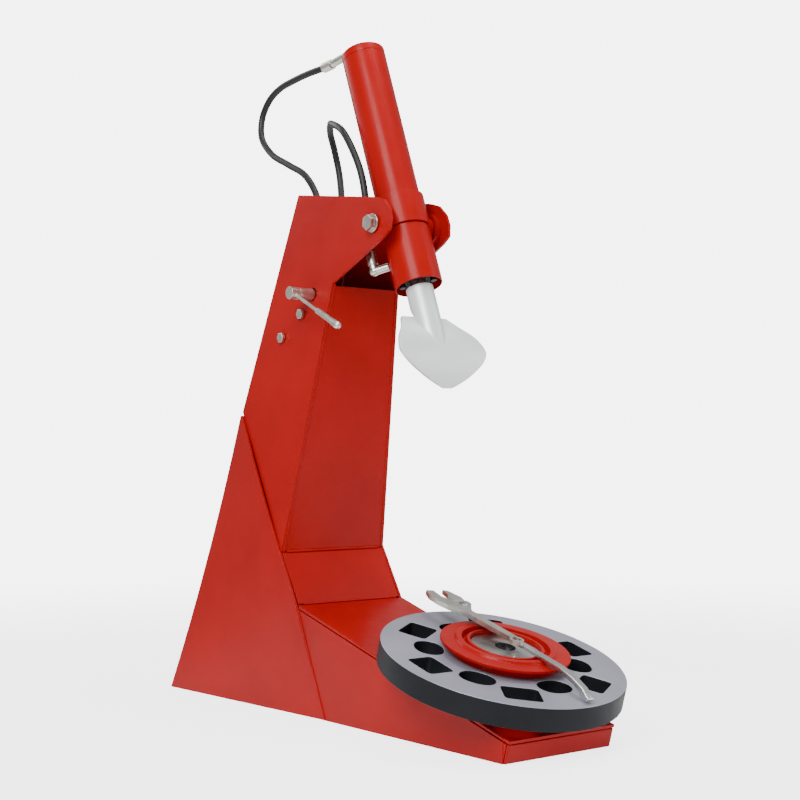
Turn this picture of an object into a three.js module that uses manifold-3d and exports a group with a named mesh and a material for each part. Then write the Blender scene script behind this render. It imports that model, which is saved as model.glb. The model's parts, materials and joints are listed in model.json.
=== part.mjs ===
// A pneumatic bead breaker: an inclined base with a slotted turntable, a folded column, and an air
// cylinder that pushes a spade blade down onto the tyre. Millimetres, +Z up. The operator stands at -Y.
// Shapes are described by x (across), f (forward from the rear foot) and z (up).
import * as THREE from "three";
import { mergeVertices } from "three/addons/utils/BufferGeometryUtils.js";
import Module from "manifold-3d";

const wasm = await Module();
wasm.setup();

const rad = THREE.MathUtils.degToRad;
const GAP = 0.3;

// Turntable
const TILT = rad(15.75);
const DISC_RADIUS = 200;
const DISC_THICKNESS = 38;
const DISC_CENTRE = { f: 818, z: 137.5 };
const DECK_DROP = 60;
const HALF_LENGTH = (DISC_CENTRE.f + DISC_RADIUS * Math.cos(TILT)) / 2;
const HUB_RADIUS = 106;
const HUB_HEIGHT = 24;
const HUB_PLATE_RADIUS = 55;
const SPINDLE_RADIUS = 20;
const BEARING_RADIUS = 36;

// Frame sheet metal: corner points of the profile as [f, z]
const SHEET = 5;
const REAR_FOOT = [0, 0];
const REAR_TOP = [320, 938];
const PANEL_APEX = [183, 538];
const COLUMN_FOOT = [349, 283];
const COLUMN_FRONT_TOP = [450, 762];
const DECK_REAR = [402, 192.5];
const PANEL_TOE = [486, 0];
const BASE_FRONT = 944;
const columnHalf = (z) => 139.5 - 0.085 * z;
const baseHalf = (f) => 116 - 0.0092 * (f - DECK_REAR[0]);
// The rear side panels are slightly twisted sheets that stand proud of the column sides.
const PANEL_PROUD = 3;
const panelHalf = (f, z) => 140.5 - 0.124 * z - 0.061 * f + 0.000318 * f * z + PANEL_PROUD;

// Cylinder, along its own axis from the trunnion: positive is up
const TRUNNION = { f: 562, z: 857 };
const LEAN = rad(20.4);
const BARREL_RADIUS = 39.5;
const BORE_RADIUS = 35;
const SLEEVE_RADIUS = 42;
const COLLAR_RADIUS = 45;
const BARREL_TOP = 338;
const BARREL_BOTTOM = -104;
const SLEEVE_BOTTOM = -116;
const COLLAR_SPAN = [-9, 50];
const ROD_RADIUS = 14;
const SHANK_RADIUS = 24;
const SHANK_SPAN = [-262, -119];
const EAR_HOLE_RADIUS = 13;
const TRUNNION_BOLT_RADIUS = 8;

// Air valve and hoses
const VALVE_AXIS = { f: 390, z: 747 };
const VALVE_SCREWS = [[362, 713], [304, 673]];
const LEVER_LENGTH = 156;
const LEVER_DROP = rad(26);
const HOSE_RADIUS = 6.3;
const HOSE_GAP = 0.9;

const place = (x, f, z) => new THREE.Vector3(x, HALF_LENGTH - f, z);

const paint = (color, roughness = 0.35, metalness = 0.1) =>
  new THREE.MeshStandardMaterial({ color, roughness, metalness });
const RED = paint(0xd81810);
const DARK_GREY = paint(0x2c2e31, 0.5);
const BLUE_GREY = paint(0x9a9ba8, 0.4, 0.5);
const ZINC = paint(0xc9c6bb, 0.35, 0.9);
const STEEL = paint(0xb8babb, 0.3, 1);
const BLADE_GREY = paint(0xd2d5d5, 0.4, 0.8);
const BRONZE = paint(0xa8814a, 0.4, 0.9);
const RUBBER = paint(0x1c1e1c, 0.7, 0);

// ---------------------------------------------------------------- solids

function toSolid(geometry) {
  const bare = geometry.clone();
  bare.deleteAttribute("normal");
  bare.deleteAttribute("uv");
  const merged = mergeVertices(bare, 1e-4);
  const triVerts = new Uint32Array(merged.index.array);
  const vertProperties = merged.attributes.position.array;
  const made = new wasm.Manifold(new wasm.Mesh({ numProp: 3, vertProperties, triVerts }));
  if (made.volume() >= 0) return made;
  for (let i = 0; i < triVerts.length; i += 3) {
    [triVerts[i + 1], triVerts[i + 2]] = [triVerts[i + 2], triVerts[i + 1]];
  }
  return new wasm.Manifold(new wasm.Mesh({ numProp: 3, vertProperties, triVerts }));
}

function toGeometry(solid) {
  const mesh = solid.getMesh();
  const positions = new Float32Array(mesh.numVert * 3);
  for (let i = 0; i < mesh.numVert; i++) {
    const at = i * mesh.numProp;
    positions.set(mesh.vertProperties.subarray(at, at + 3), i * 3);
  }
  const geometry = new THREE.BufferGeometry();
  geometry.setAttribute("position", new THREE.BufferAttribute(positions, 3));
  geometry.setIndex(new THREE.BufferAttribute(new Uint32Array(mesh.triVerts), 1));
  geometry.computeVertexNormals();
  return geometry;
}

const join = (...parts) => toGeometry(parts.map(toSolid).reduce((a, b) => a.add(b)));
const cut = (body, ...tools) =>
  toGeometry(tools.map(toSolid).reduce((a, b) => a.subtract(b), toSolid(body)));

// A solid of revolution about Z from closed [radius, z] points.
function turned(profile, sides = 32) {
  const points = [...profile, profile[0]].map(([r, z]) => new THREE.Vector2(r, z));
  return toGeometry(toSolid(new THREE.LatheGeometry(points, sides).rotateX(Math.PI / 2)));
}

const ring = (outer, inner, low, high, sides) =>
  turned([[inner, low], [outer, low], [outer, high], [inner, high]], sides);

function rod(radius, low, high, sides = 24) {
  return new THREE.CylinderGeometry(radius, radius, high - low, sides)
    .rotateX(Math.PI / 2)
    .translate(0, 0, (low + high) / 2);
}

const hexagon = (acrossFlats, low, high) => rod(acrossFlats / Math.sqrt(3), low, high, 6);

// A straight round bar between two points.
function bar(from, to, radius, sides = 16) {
  const along = new THREE.Vector3().subVectors(to, from);
  const turn = new THREE.Quaternion().setFromUnitVectors(
    new THREE.Vector3(0, 0, 1),
    along.clone().normalize(),
  );
  return rod(radius, 0, along.length(), sides).applyQuaternion(turn).translate(from.x, from.y, from.z);
}

// An outline extruded by a thickness, with every vertex (u, v, depth) then carried to its place.
function sheet(outline, thickness, carry, holes = []) {
  const shape = new THREE.Shape(outline.map(([u, v]) => new THREE.Vector2(u, v)));
  for (const hole of holes) {
    const circle = new THREE.Path();
    circle.absarc(hole.u, hole.v, hole.radius, 0, 2 * Math.PI, true);
    shape.holes.push(circle);
  }
  const options = { depth: thickness, bevelEnabled: false, curveSegments: 9 };
  const geometry = new THREE.ExtrudeGeometry(shape, options);
  const position = geometry.attributes.position;
  for (let i = 0; i < position.count; i++) {
    const to = carry(position.getX(i), position.getY(i), position.getZ(i));
    position.setXYZ(i, to.x, to.y, to.z);
  }
  return toGeometry(toSolid(geometry));
}

// A flat or curved sheet from two grids of points, its outer face and its inner face.
function gridSheet(outer, inner) {
  const rows = outer.length;
  const columns = outer[0].length;
  const points = [...outer.flat(), ...inner.flat()];
  const index = [];
  const quad = (a, b, c, d) => index.push(a, b, c, a, c, d);
  const top = (i, j) => i * columns + j;
  const under = (i, j) => rows * columns + top(i, j);
  for (let i = 0; i < rows - 1; i++) {
    for (let j = 0; j < columns - 1; j++) {
      quad(top(i, j), top(i, j + 1), top(i + 1, j + 1), top(i + 1, j));
      quad(under(i, j), under(i + 1, j), under(i + 1, j + 1), under(i, j + 1));
    }
    quad(top(i, 0), top(i + 1, 0), under(i + 1, 0), under(i, 0));
    const last = columns - 1;
    quad(top(i + 1, last), top(i, last), under(i, last), under(i + 1, last));
  }
  for (let j = 0; j < columns - 1; j++) {
    quad(top(0, j + 1), top(0, j), under(0, j), under(0, j + 1));
    const last = rows - 1;
    quad(top(last, j), top(last, j + 1), under(last, j + 1), under(last, j));
  }
  const geometry = new THREE.BufferGeometry().setFromPoints(points);
  geometry.setIndex(index);
  return toGeometry(toSolid(geometry));
}

function hose(points) {
  const path = new THREE.CatmullRomCurve3(points, false, "centripetal");
  const steps = Math.round(path.getLength() / (5 * HOSE_RADIUS));
  const section = new THREE.Shape().absarc(0, 0, HOSE_RADIUS, 0, 2 * Math.PI);
  return new THREE.ExtrudeGeometry(section, { steps, extrudePath: path, curveSegments: 5 });
}

const bead_breaker = new THREE.Group();
const cylinder = new THREE.Group();
cylinder.position.copy(place(0, TRUNNION.f, TRUNNION.z));
cylinder.rotation.x = -LEAN;
const turntable = new THREE.Group();
turntable.position.copy(place(0, DISC_CENTRE.f, DISC_CENTRE.z));
turntable.rotation.x = TILT;
bead_breaker.add(cylinder, turntable);

function add(parent, name, geometry, material) {
  const mesh = new THREE.Mesh(geometry, material);
  mesh.name = name;
  parent.add(mesh);
  return mesh;
}

// ---------------------------------------------------------------- frame

const deckHeight = (f) => DECK_REAR[1] - (f - DECK_REAR[0]) * Math.tan(TILT);
const BASE_FRONT_TOP = [BASE_FRONT + 11, deckHeight(BASE_FRONT + 11)];
const SHEET_DROP = (SHEET + GAP) / Math.cos(TILT);

// A sheet across the machine whose outer face runs from one [f, z] point to another.
function crossSheet(from, to, halfFrom, halfTo, thickness, holes = []) {
  const run = [to[0] - from[0], to[1] - from[1]];
  const length = Math.hypot(...run);
  const [af, az] = [run[0] / length, run[1] / length];
  const outline = [[-halfFrom, 0], [halfFrom, 0], [halfTo, length], [-halfTo, length]];
  const carry = (u, v, depth) =>
    place(u, from[0] + af * v - az * depth, from[1] + az * v + af * depth);
  return sheet(outline, thickness, carry, holes);
}

function sidePlate(side) {
  const earTop = [[562, 903], [585, 896], [603, 878], [609, 860]];
  const earUnder = [[606, 840], [590, 829]];
  const outline = [PANEL_APEX, COLUMN_FOOT, COLUMN_FRONT_TOP, ...earUnder.reverse(), ...earTop.reverse()];
  const holes = [{ u: TRUNNION.f, v: TRUNNION.z, radius: EAR_HOLE_RADIUS }];
  if (side < 0) {
    holes.push({ u: VALVE_AXIS.f, v: VALVE_AXIS.z, radius: 12 });
    VALVE_SCREWS.forEach(([u, v]) => holes.push({ u, v, radius: 5.6 }));
  }
  const carry = (u, v, depth) => place(side * (columnHalf(v) - depth), u, v);
  const plate = sheet([...outline, REAR_TOP], SHEET, carry, holes);
  const boss = ring(27, EAR_HOLE_RADIUS, 51.5, 63, 28);
  boss.rotateY(side * Math.PI / 2);
  const at = place(0, TRUNNION.f, TRUNNION.z);
  return join(plate, boss.translate(at.x, at.y, at.z));
}

function rearSidePanel(side) {
  const frontEdge = (z) => {
    const corners = [PANEL_TOE, DECK_REAR, COLUMN_FOOT, PANEL_APEX];
    const i = corners.findIndex((c, k) => k && z <= c[1] + 1e-9);
    const [a, b] = [corners[i - 1], corners[i]];
    return a[0] + ((b[0] - a[0]) * (z - a[1])) / (b[1] - a[1]) - 1;
  };
  const rearEdge = (z) => (PANEL_APEX[0] * z) / PANEL_APEX[1];
  const levels = [0, 64, 128, DECK_REAR[1], COLUMN_FOOT[1], 368, 453, PANEL_APEX[1] - 7];
  const across = [0, 0.2, 0.4, 0.6, 0.8, 1];
  const face = (inset) =>
    levels.map((z) =>
      across.map((t) => {
        const f = rearEdge(z) + (frontEdge(z) - rearEdge(z)) * t;
        return place(side * (panelHalf(f, z) - inset), f, z);
      }),
    );
  return gridSheet(face(0), face(SHEET));
}

function baseSide(side) {
  const rearGap = 1;
  const outline = [
    [PANEL_TOE[0] + rearGap, 0],
    [BASE_FRONT - SHEET - GAP, 0],
    [BASE_FRONT_TOP[0] - SHEET - GAP - 2, BASE_FRONT_TOP[1] - SHEET_DROP],
    [DECK_REAR[0] + 4, DECK_REAR[1] - SHEET_DROP - 3],
  ];
  return sheet(outline, SHEET, (u, v, depth) => place(side * (baseHalf(u) - depth), u, v));
}

for (const [name, side] of [["left", -1], ["right", 1]]) {
  add(bead_breaker, `side_plate_${name}`, sidePlate(side), RED);
  add(bead_breaker, `rear_side_panel_${name}`, rearSidePanel(side), RED);
  add(bead_breaker, `base_side_${name}`, baseSide(side), RED);
}

const innerColumn = (z) => columnHalf(z) - SHEET - 2 * GAP;
const columnTop = [COLUMN_FRONT_TOP[0] - 1, COLUMN_FRONT_TOP[1] - 4];
const footHalf = innerColumn(COLUMN_FOOT[1]);
const columnFront = crossSheet(COLUMN_FOOT, columnTop, footHalf, innerColumn(columnTop[1]), SHEET);
add(bead_breaker, "column_front_plate", columnFront, RED);
const slopedTop = [COLUMN_FOOT[0] - 0.4, COLUMN_FOOT[1] - 1];
const slopedFoot = [DECK_REAR[0] - 0.6, DECK_REAR[1] + 0.8];
add(bead_breaker, "sloped_panel", crossSheet(slopedFoot, slopedTop, 112.5, 112.5, SHEET), RED);

const DECK_LENGTH = (BASE_FRONT_TOP[0] - DECK_REAR[0]) / Math.cos(TILT);
const spindleRun = DISC_CENTRE.f - DECK_DROP * Math.sin(TILT) - DECK_REAR[0];
const spindleAlong = DECK_LENGTH - spindleRun / Math.cos(TILT);
const housingHole = { u: 0, v: spindleAlong, radius: BEARING_RADIUS + 10 };
const deckHalves = [baseHalf(BASE_FRONT_TOP[0]), baseHalf(DECK_REAR[0])];
const deckEnd = [DECK_REAR[0] + 4, deckHeight(DECK_REAR[0] + 4)];
const deck = crossSheet(BASE_FRONT_TOP, deckEnd, ...deckHalves, SHEET, [housingHole]);
add(bead_breaker, "deck_plate", deck, RED);

const frontTop = [BASE_FRONT_TOP[0] - 1.8, BASE_FRONT_TOP[1] - SHEET_DROP - 0.6];
const frontHalf = baseHalf(BASE_FRONT);
const baseFront = crossSheet([BASE_FRONT, 0], frontTop, frontHalf, frontHalf, SHEET);
add(bead_breaker, "base_front_plate", baseFront, RED);

const floorOutline = [[-136.5, 8], [136.5, 8], [107, 486], [104.5, 936], [-104.5, 936], [-107, 486]];
add(bead_breaker, "floor_plate", sheet(floorOutline, SHEET, (u, v, depth) => place(u, v, depth)), RED);

const backInset = 10;
const backFoot = [REAR_FOOT[0] + backInset + 4, SHEET + 4];
const backTop = [REAR_TOP[0] + backInset - 2, REAR_TOP[1] - 14];
const backHalves = [innerColumn(backTop[1]) - 1, innerColumn(backFoot[1]) - 7];
const INLET_HEIGHT = 560;
const inletAlong = (backTop[1] - INLET_HEIGHT) / (backTop[1] - backFoot[1]);
const backLength = Math.hypot(backTop[0] - backFoot[0], backTop[1] - backFoot[1]);
const inletHole = { u: 0, v: inletAlong * backLength, radius: 11 };
const back = crossSheet(backTop, backFoot, ...backHalves, SHEET, [inletHole]);
add(bead_breaker, "back_plate", back, RED);

// ---------------------------------------------------------------- turntable

function openings() {
  const rectangle = new THREE.BoxGeometry(60, 48, 3 * DISC_THICKNESS);
  const oval = new THREE.CylinderGeometry(1, 1, 3 * DISC_THICKNESS, 14).rotateX(Math.PI / 2).scale(29, 24, 1);
  const tools = [];
  for (let i = 0; i < 6; i++) {
    const turn = rad(60 * i);
    tools.push(rectangle.clone().translate(0, -150, 0).rotateZ(turn + rad(30)));
    tools.push(oval.clone().translate(0, -122, 0).rotateZ(turn));
  }
  return tools;
}

const disc = cut(
  ring(DISC_RADIUS, SPINDLE_RADIUS + GAP, -DISC_THICKNESS, 0, 60),
  ...openings(),
);
add(turntable, "turntable_disc", disc, BLUE_GREY);

const spindle = turned([
  [0, -118],
  [SPINDLE_RADIUS - 4, -118],
  [SPINDLE_RADIUS - 4, -98],
  [SPINDLE_RADIUS, -96],
  [SPINDLE_RADIUS, -46],
  [58, -46],
  [58, -DISC_THICKNESS - GAP],
  [SPINDLE_RADIUS, -DISC_THICKNESS - GAP],
  [SPINDLE_RADIUS, 4],
  [0, 4],
], 20);
add(turntable, "spindle", spindle, STEEL);
const spindleNut = cut(hexagon(46, -113, -99), rod(SPINDLE_RADIUS - 4 + GAP, -120, -90));
add(turntable, "spindle_nut", spindleNut, ZINC);

const hub = turned([
  [HUB_PLATE_RADIUS + 3, GAP],
  [90, GAP],
  [94, 12],
  [HUB_RADIUS, 14],
  [HUB_RADIUS, 19],
  [84, 20],
  [81, HUB_HEIGHT],
  [72, HUB_HEIGHT],
  [70, 14],
  [65, 14],
  [63, 22],
  [HUB_PLATE_RADIUS + 3, 22],
], 40);
add(turntable, "centring_hub", hub, RED);
const hubPlateEdge = HUB_PLATE_RADIUS + 2;
const hubPlate = turned([[17, 5], [hubPlateEdge, 5], [hubPlateEdge, 15], [24, 17], [17, 17]], 32);
add(turntable, "hub_plate", hubPlate, STEEL);

// The bearing housing is part of the frame, under the disc.
const housingGroup = new THREE.Group();
housingGroup.position.copy(turntable.position);
housingGroup.rotation.copy(turntable.rotation);
bead_breaker.add(housingGroup);
const housing = turned([
  [BEARING_RADIUS + GAP, -94],
  [BEARING_RADIUS + 8, -94],
  [BEARING_RADIUS + 8, -DECK_DROP + GAP],
  [82, -DECK_DROP + GAP],
  [82, -50],
  [BEARING_RADIUS + GAP, -50],
], 24);
add(housingGroup, "bearing_housing", housing, DARK_GREY);
const bearing = (low) => ring(BEARING_RADIUS, SPINDLE_RADIUS + GAP, low, low + 14, 20);
add(housingGroup, "upper_bearing", bearing(-65), STEEL);
add(housingGroup, "lower_bearing", bearing(-93), STEEL);

// ---------------------------------------------------------------- cylinder and blade

add(cylinder, "cylinder_barrel", ring(BARREL_RADIUS, BORE_RADIUS, BARREL_BOTTOM, BARREL_TOP, 32), RED);

const collarRing = ring(COLLAR_RADIUS, BARREL_RADIUS + GAP, ...COLLAR_SPAN, 32);
const lug = rod(20, -50, 50, 24).rotateY(Math.PI / 2);
const lugBore = rod(TRUNNION_BOLT_RADIUS + GAP, -60, 60, 20).rotateY(Math.PI / 2);
const clearance = rod(BARREL_RADIUS + GAP, -100, 100, 32);
const sleeveClearance = rod(SLEEVE_RADIUS + 2 * GAP, -100, COLLAR_SPAN[0], 32);
add(cylinder, "trunnion_collar", cut(join(collarRing, lug), clearance, sleeveClearance, lugBore), RED);
const sleeve = ring(SLEEVE_RADIUS, BARREL_RADIUS + GAP, SLEEVE_BOTTOM, COLLAR_SPAN[0] - 2, 32);
add(cylinder, "lower_sleeve", sleeve, RED);

const topCap = turned([
  [0, 318],
  [BORE_RADIUS - GAP, 318],
  [BORE_RADIUS - GAP, BARREL_TOP + GAP],
  [BARREL_RADIUS, BARREL_TOP + GAP],
  [BARREL_RADIUS, 352],
  [BARREL_RADIUS - 2, 354],
  [0, 354],
], 32);
add(cylinder, "top_cap", topCap, RED);

const gland = turned([
  [ROD_RADIUS + GAP, -66],
  [BORE_RADIUS - GAP, -66],
  [BORE_RADIUS - GAP, -105],
  [20, -105],
  [20, -97],
  [ROD_RADIUS + GAP, -97],
], 24);
const GLAND_BOLTS = 4;
const boltAngle = (i) => rad(45 + (360 / GLAND_BOLTS) * i);
const boltHoles = [];
for (let i = 0; i < GLAND_BOLTS; i++) {
  const hole = rod(3.4, -120, -85, 12);
  boltHoles.push(hole.translate(27.5 * Math.cos(boltAngle(i)), 27.5 * Math.sin(boltAngle(i)), 0));
}
add(cylinder, "bottom_cap", cut(gland, ...boltHoles), DARK_GREY);
add(cylinder, "rod_seal", ring(19.6, ROD_RADIUS + GAP, -104, -97.4, 24), RUBBER);
for (let i = 0; i < GLAND_BOLTS; i++) {
  const bolt = join(hexagon(11, -112, -105.4), rod(3, -106, -87, 12));
  bolt.translate(27.5 * Math.cos(boltAngle(i)), 27.5 * Math.sin(boltAngle(i)), 0);
  add(cylinder, `gland_bolt_${i + 1}`, bolt, DARK_GREY);
}

for (const [name, side] of [["left", -1], ["right", 1]]) {
  const bolt = join(rod(TRUNNION_BOLT_RADIUS, 42, 74), hexagon(24, 73, 83));
  add(cylinder, `trunnion_bolt_${name}`, bolt.rotateY((side * Math.PI) / 2), ZINC);
  const washer = ring(16.5, TRUNNION_BOLT_RADIUS + GAP, 69.5, 72.6, 24);
  add(cylinder, `trunnion_washer_${name}`, washer.rotateY((side * Math.PI) / 2), ZINC);
  const bush = ring(EAR_HOLE_RADIUS - GAP, TRUNNION_BOLT_RADIUS + GAP, 50.6, 69.1, 24);
  const at = place(0, TRUNNION.f, TRUNNION.z);
  bush.rotateY((side * Math.PI) / 2).translate(at.x, at.y, at.z);
  add(bead_breaker, `trunnion_bush_${name}`, bush, BRONZE);
}

const PISTON_SPAN = [276, 306];
const piston = turned([
  [ROD_RADIUS - 4 + GAP, PISTON_SPAN[0]],
  [BORE_RADIUS - 0.5, PISTON_SPAN[0]],
  [BORE_RADIUS - 0.5, 287],
  [BORE_RADIUS - 4, 287],
  [BORE_RADIUS - 4, 295],
  [BORE_RADIUS - 0.5, 295],
  [BORE_RADIUS - 0.5, PISTON_SPAN[1]],
  [ROD_RADIUS - 4 + GAP, PISTON_SPAN[1]],
], 24);
add(cylinder, "piston", piston, STEEL);
add(cylinder, "piston_seal", ring(BORE_RADIUS - 0.2, BORE_RADIUS - 3.7, 287.4, 294.6, 24), RUBBER);
const pistonRod = turned([
  [0, -170],
  [ROD_RADIUS, -170],
  [ROD_RADIUS, PISTON_SPAN[0] - GAP],
  [ROD_RADIUS - 4, PISTON_SPAN[0] - GAP],
  [ROD_RADIUS - 4, PISTON_SPAN[1] + GAP],
  [ROD_RADIUS + 2, PISTON_SPAN[1] + GAP],
  [ROD_RADIUS + 2, 315],
  [0, 315],
], 20);
const setScrewHole = bar(new THREE.Vector3(0, -8, -134), new THREE.Vector3(0, -30, -134), 4.3, 14);
add(cylinder, "piston_rod", cut(pistonRod, setScrewHole), STEEL);

// The blade is a dished spade. Its middle line is [front offset, distance below the trunnion].
const BLADE_THICKNESS = 6;
const bladeLine = new THREE.SplineCurve([
  new THREE.Vector2(-6, 171),
  new THREE.Vector2(17, 213),
  new THREE.Vector2(26, 250),
  new THREE.Vector2(22, 281),
  new THREE.Vector2(12, 310),
]);
const bladeHalf = new THREE.SplineCurve([
  new THREE.Vector2(0, 49),
  new THREE.Vector2(0.16, 62),
  new THREE.Vector2(0.34, 82),
  new THREE.Vector2(0.5, 92),
  new THREE.Vector2(0.6, 91),
  new THREE.Vector2(0.72, 77),
  new THREE.Vector2(0.86, 49),
  new THREE.Vector2(0.95, 25),
  new THREE.Vector2(1, 8),
]);
const bladeRows = 14;
const bladeColumns = 4;
function bladeFace(depth) {
  const rows = [];
  for (let i = 0; i <= bladeRows; i++) {
    const edge = bladeHalf.getPoint(i / bladeRows);
    const middle = bladeLine.getPointAt(THREE.MathUtils.clamp(edge.x, 0, 1));
    const along = bladeLine.getTangentAt(THREE.MathUtils.clamp(edge.x, 0, 1));
    const row = [];
    for (let j = 0; j <= bladeColumns; j++) {
      const x = edge.y * ((2 * j) / bladeColumns - 1);
      const front = middle.x - depth * along.y;
      const down = middle.y + depth * along.x;
      row.push(new THREE.Vector3(x, -front, -down));
    }
    rows.push(row);
  }
  return rows;
}
add(cylinder, "blade", gridSheet(bladeFace(0), bladeFace(BLADE_THICKNESS)), BLADE_GREY);

// Everything on the rear side of the blade's front face is cut off the shank.
const behindBlade = [];
for (let i = -2; i <= 12; i++) {
  const t = THREE.MathUtils.clamp(i / 10, 0, 1);
  const p = bladeLine.getPointAt(t);
  const along = bladeLine.getTangentAt(t);
  const beyond = (i / 10 - t) * 160;
  const front = p.x + along.x * beyond + GAP * along.y;
  behindBlade.push([front, -(p.y + along.y * beyond) + GAP * along.x]);
}
const shankCut = sheet([...behindBlade, [-90, -330], [-90, -140]], 120, (u, v, depth) =>
  new THREE.Vector3(depth - 60, -u, v),
);
const shank = ring(SHANK_RADIUS, ROD_RADIUS + GAP, ...SHANK_SPAN, 24);
const screwThread = bar(new THREE.Vector3(0, -10, -134), new THREE.Vector3(0, -40, -134), 4.3, 14);
add(cylinder, "blade_shank", cut(shank, shankCut, screwThread), BLADE_GREY);
const setScrew = bar(new THREE.Vector3(0, -9, -134), new THREE.Vector3(0, -22, -134), 4, 14);
add(cylinder, "blade_set_screw", setScrew, DARK_GREY);

// ---------------------------------------------------------------- air fittings, in the machine's frame

const onCylinder = (x, y, z) => cylinder.localToWorld(new THREE.Vector3(x, y, z));
cylinder.updateMatrixWorld();

const topHoseEnd = place(-16, 339, 1178);
const topBend = onCylinder(-6, 22, 367);
const topStem = bar(onCylinder(-6, 22, 354.4), topBend, 8);
const topKnuckle = new THREE.SphereGeometry(9, 12, 8).translate(topBend.x, topBend.y, topBend.z);
const topArmEnd = place(-14, 364, 1181);
const topFerrule = bar(topArmEnd, topHoseEnd.clone().lerp(topArmEnd, HOSE_GAP / 25), 9.5, 18);
const topElbow = join(topStem, topKnuckle, bar(topBend, topArmEnd, 7.5), topFerrule);
add(bead_breaker, "top_port_elbow", topElbow, ZINC);

const lowHoseEnd = place(-44, 521, 813);
const lowBend = place(-42, 530, 778);
const bendLocal = cylinder.worldToLocal(lowBend.clone());
const portShare = (SLEEVE_RADIUS + 1.4) / Math.hypot(bendLocal.x, bendLocal.y);
const lowPort = onCylinder(bendLocal.x * portShare, bendLocal.y * portShare, bendLocal.z);
const lowKnuckle = new THREE.SphereGeometry(9, 12, 8).translate(lowBend.x, lowBend.y, lowBend.z);
const lowFerruleFoot = lowBend.clone().lerp(lowHoseEnd, 0.35);
const lowElbow = join(
  bar(lowPort, lowBend, 7.5),
  lowKnuckle,
  bar(lowBend, lowFerruleFoot, 7.5),
  bar(lowFerruleFoot, lowHoseEnd.clone().lerp(lowBend, HOSE_GAP / 36), 9.5, 18),
);
add(bead_breaker, "lower_port_elbow", lowElbow, ZINC);

// ---------------------------------------------------------------- valve

const [frontScrew, rearScrew] = VALVE_SCREWS;
const valveTurn = Math.atan2(frontScrew[1] - rearScrew[1], frontScrew[0] - rearScrew[0]);
const valveMiddle = place(-52, 344, 709);
const valveBlock = new THREE.BoxGeometry(34, 150, 40)
  .rotateX(-valveTurn)
  .translate(valveMiddle.x, valveMiddle.y, valveMiddle.z);
const screwAt = VALVE_SCREWS.map(([f, z]) => place(0, f, z));
const screwBores = screwAt.map((p) => {
  const [from, to] = [p.clone().setX(-56), p.clone().setX(-75)];
  return bar(from, to, 5.3, 14);
});
const portTops = [place(-46, 372, 775), place(-46, 348, 770)];
const inletPort = place(-46, 272, 648);
const ports = [
  bar(place(-46, 372, 722), portTops[0], 9, 14),
  bar(place(-46, 348, 712), portTops[1], 9, 14),
  bar(place(-46, 300, 682), inletPort, 8, 14),
];
const neckBore = bar(place(-50, VALVE_AXIS.f, VALVE_AXIS.z), place(-80, VALVE_AXIS.f, VALVE_AXIS.z), 8.3, 18);
add(bead_breaker, "valve_body", cut(join(valveBlock, ...ports), neckBore, ...screwBores), DARK_GREY);

const valvePoint = (x) => place(x, VALVE_AXIS.f, VALVE_AXIS.z);
const LEVER_HUB = [-108, -127];
const neck = join(
  bar(valvePoint(-55), valvePoint(-78), 8, 20),
  bar(valvePoint(-77.5), valvePoint(LEVER_HUB[0]), 10.5, 24),
);
add(bead_breaker, "valve_neck", neck, ZINC);
screwAt.forEach((p, i) => {
  const outer = -columnHalf(p.z) - 1.6;
  const head = hexagon(17, 0, 6.5).rotateY(-Math.PI / 2).translate(outer, p.y, p.z);
  const shaft = bar(p.clone().setX(-58), p.clone().setX(outer - 1), 5, 14);
  add(bead_breaker, `valve_screw_${i + 1}`, join(head, shaft), ZINC);
});

const leverPoint = (along, x) => {
  const [f, z] = [VALVE_AXIS.f + along * Math.cos(LEVER_DROP), VALVE_AXIS.z - along * Math.sin(LEVER_DROP)];
  return place(x, f, z);
};
const leverX = (LEVER_HUB[0] + LEVER_HUB[1]) / 2;
const leverHub = bar(valvePoint(LEVER_HUB[0] - GAP), valvePoint(LEVER_HUB[1]), 11.5, 24);
const leverArm = bar(leverPoint(0, leverX), leverPoint(108, leverX), 3.2, 12);
add(bead_breaker, "valve_lever", join(leverHub, leverArm), ZINC);
const gripBore = bar(leverPoint(80, leverX), leverPoint(110, leverX), 3.2 + GAP, 12);
const gripEnd = leverPoint(LEVER_LENGTH - 6, leverX);
const gripBall = new THREE.SphereGeometry(7, 12, 8).translate(gripEnd.x, gripEnd.y, gripEnd.z);
const gripBar = bar(leverPoint(84, leverX), gripEnd, 5.5, 16);
add(bead_breaker, "lever_grip", cut(join(gripBar, gripBall), gripBore), ZINC);

const inletFoot = [backFoot, backTop].map(([f, z]) => new THREE.Vector2(f, z));
const [low, high] = inletFoot;
const inletF = THREE.MathUtils.mapLinear(INLET_HEIGHT, low.y, high.y, low.x, high.x);
const backSlope = Math.atan2(backTop[0] - backFoot[0], backTop[1] - backFoot[1]);
const inletPoint = (out) =>
  place(0, inletF - out * Math.cos(backSlope), INLET_HEIGHT + out * Math.sin(backSlope));
const inlet = join(
  bar(inletPoint(-26), inletPoint(2), 9.5, 16),
  bar(inletPoint(1.2), inletPoint(9), 14, 6),
  bar(inletPoint(8), inletPoint(24), 8, 16),
);
add(bead_breaker, "air_inlet_coupler", inlet, ZINC);

// ---------------------------------------------------------------- hoses, held at both ends

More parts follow.
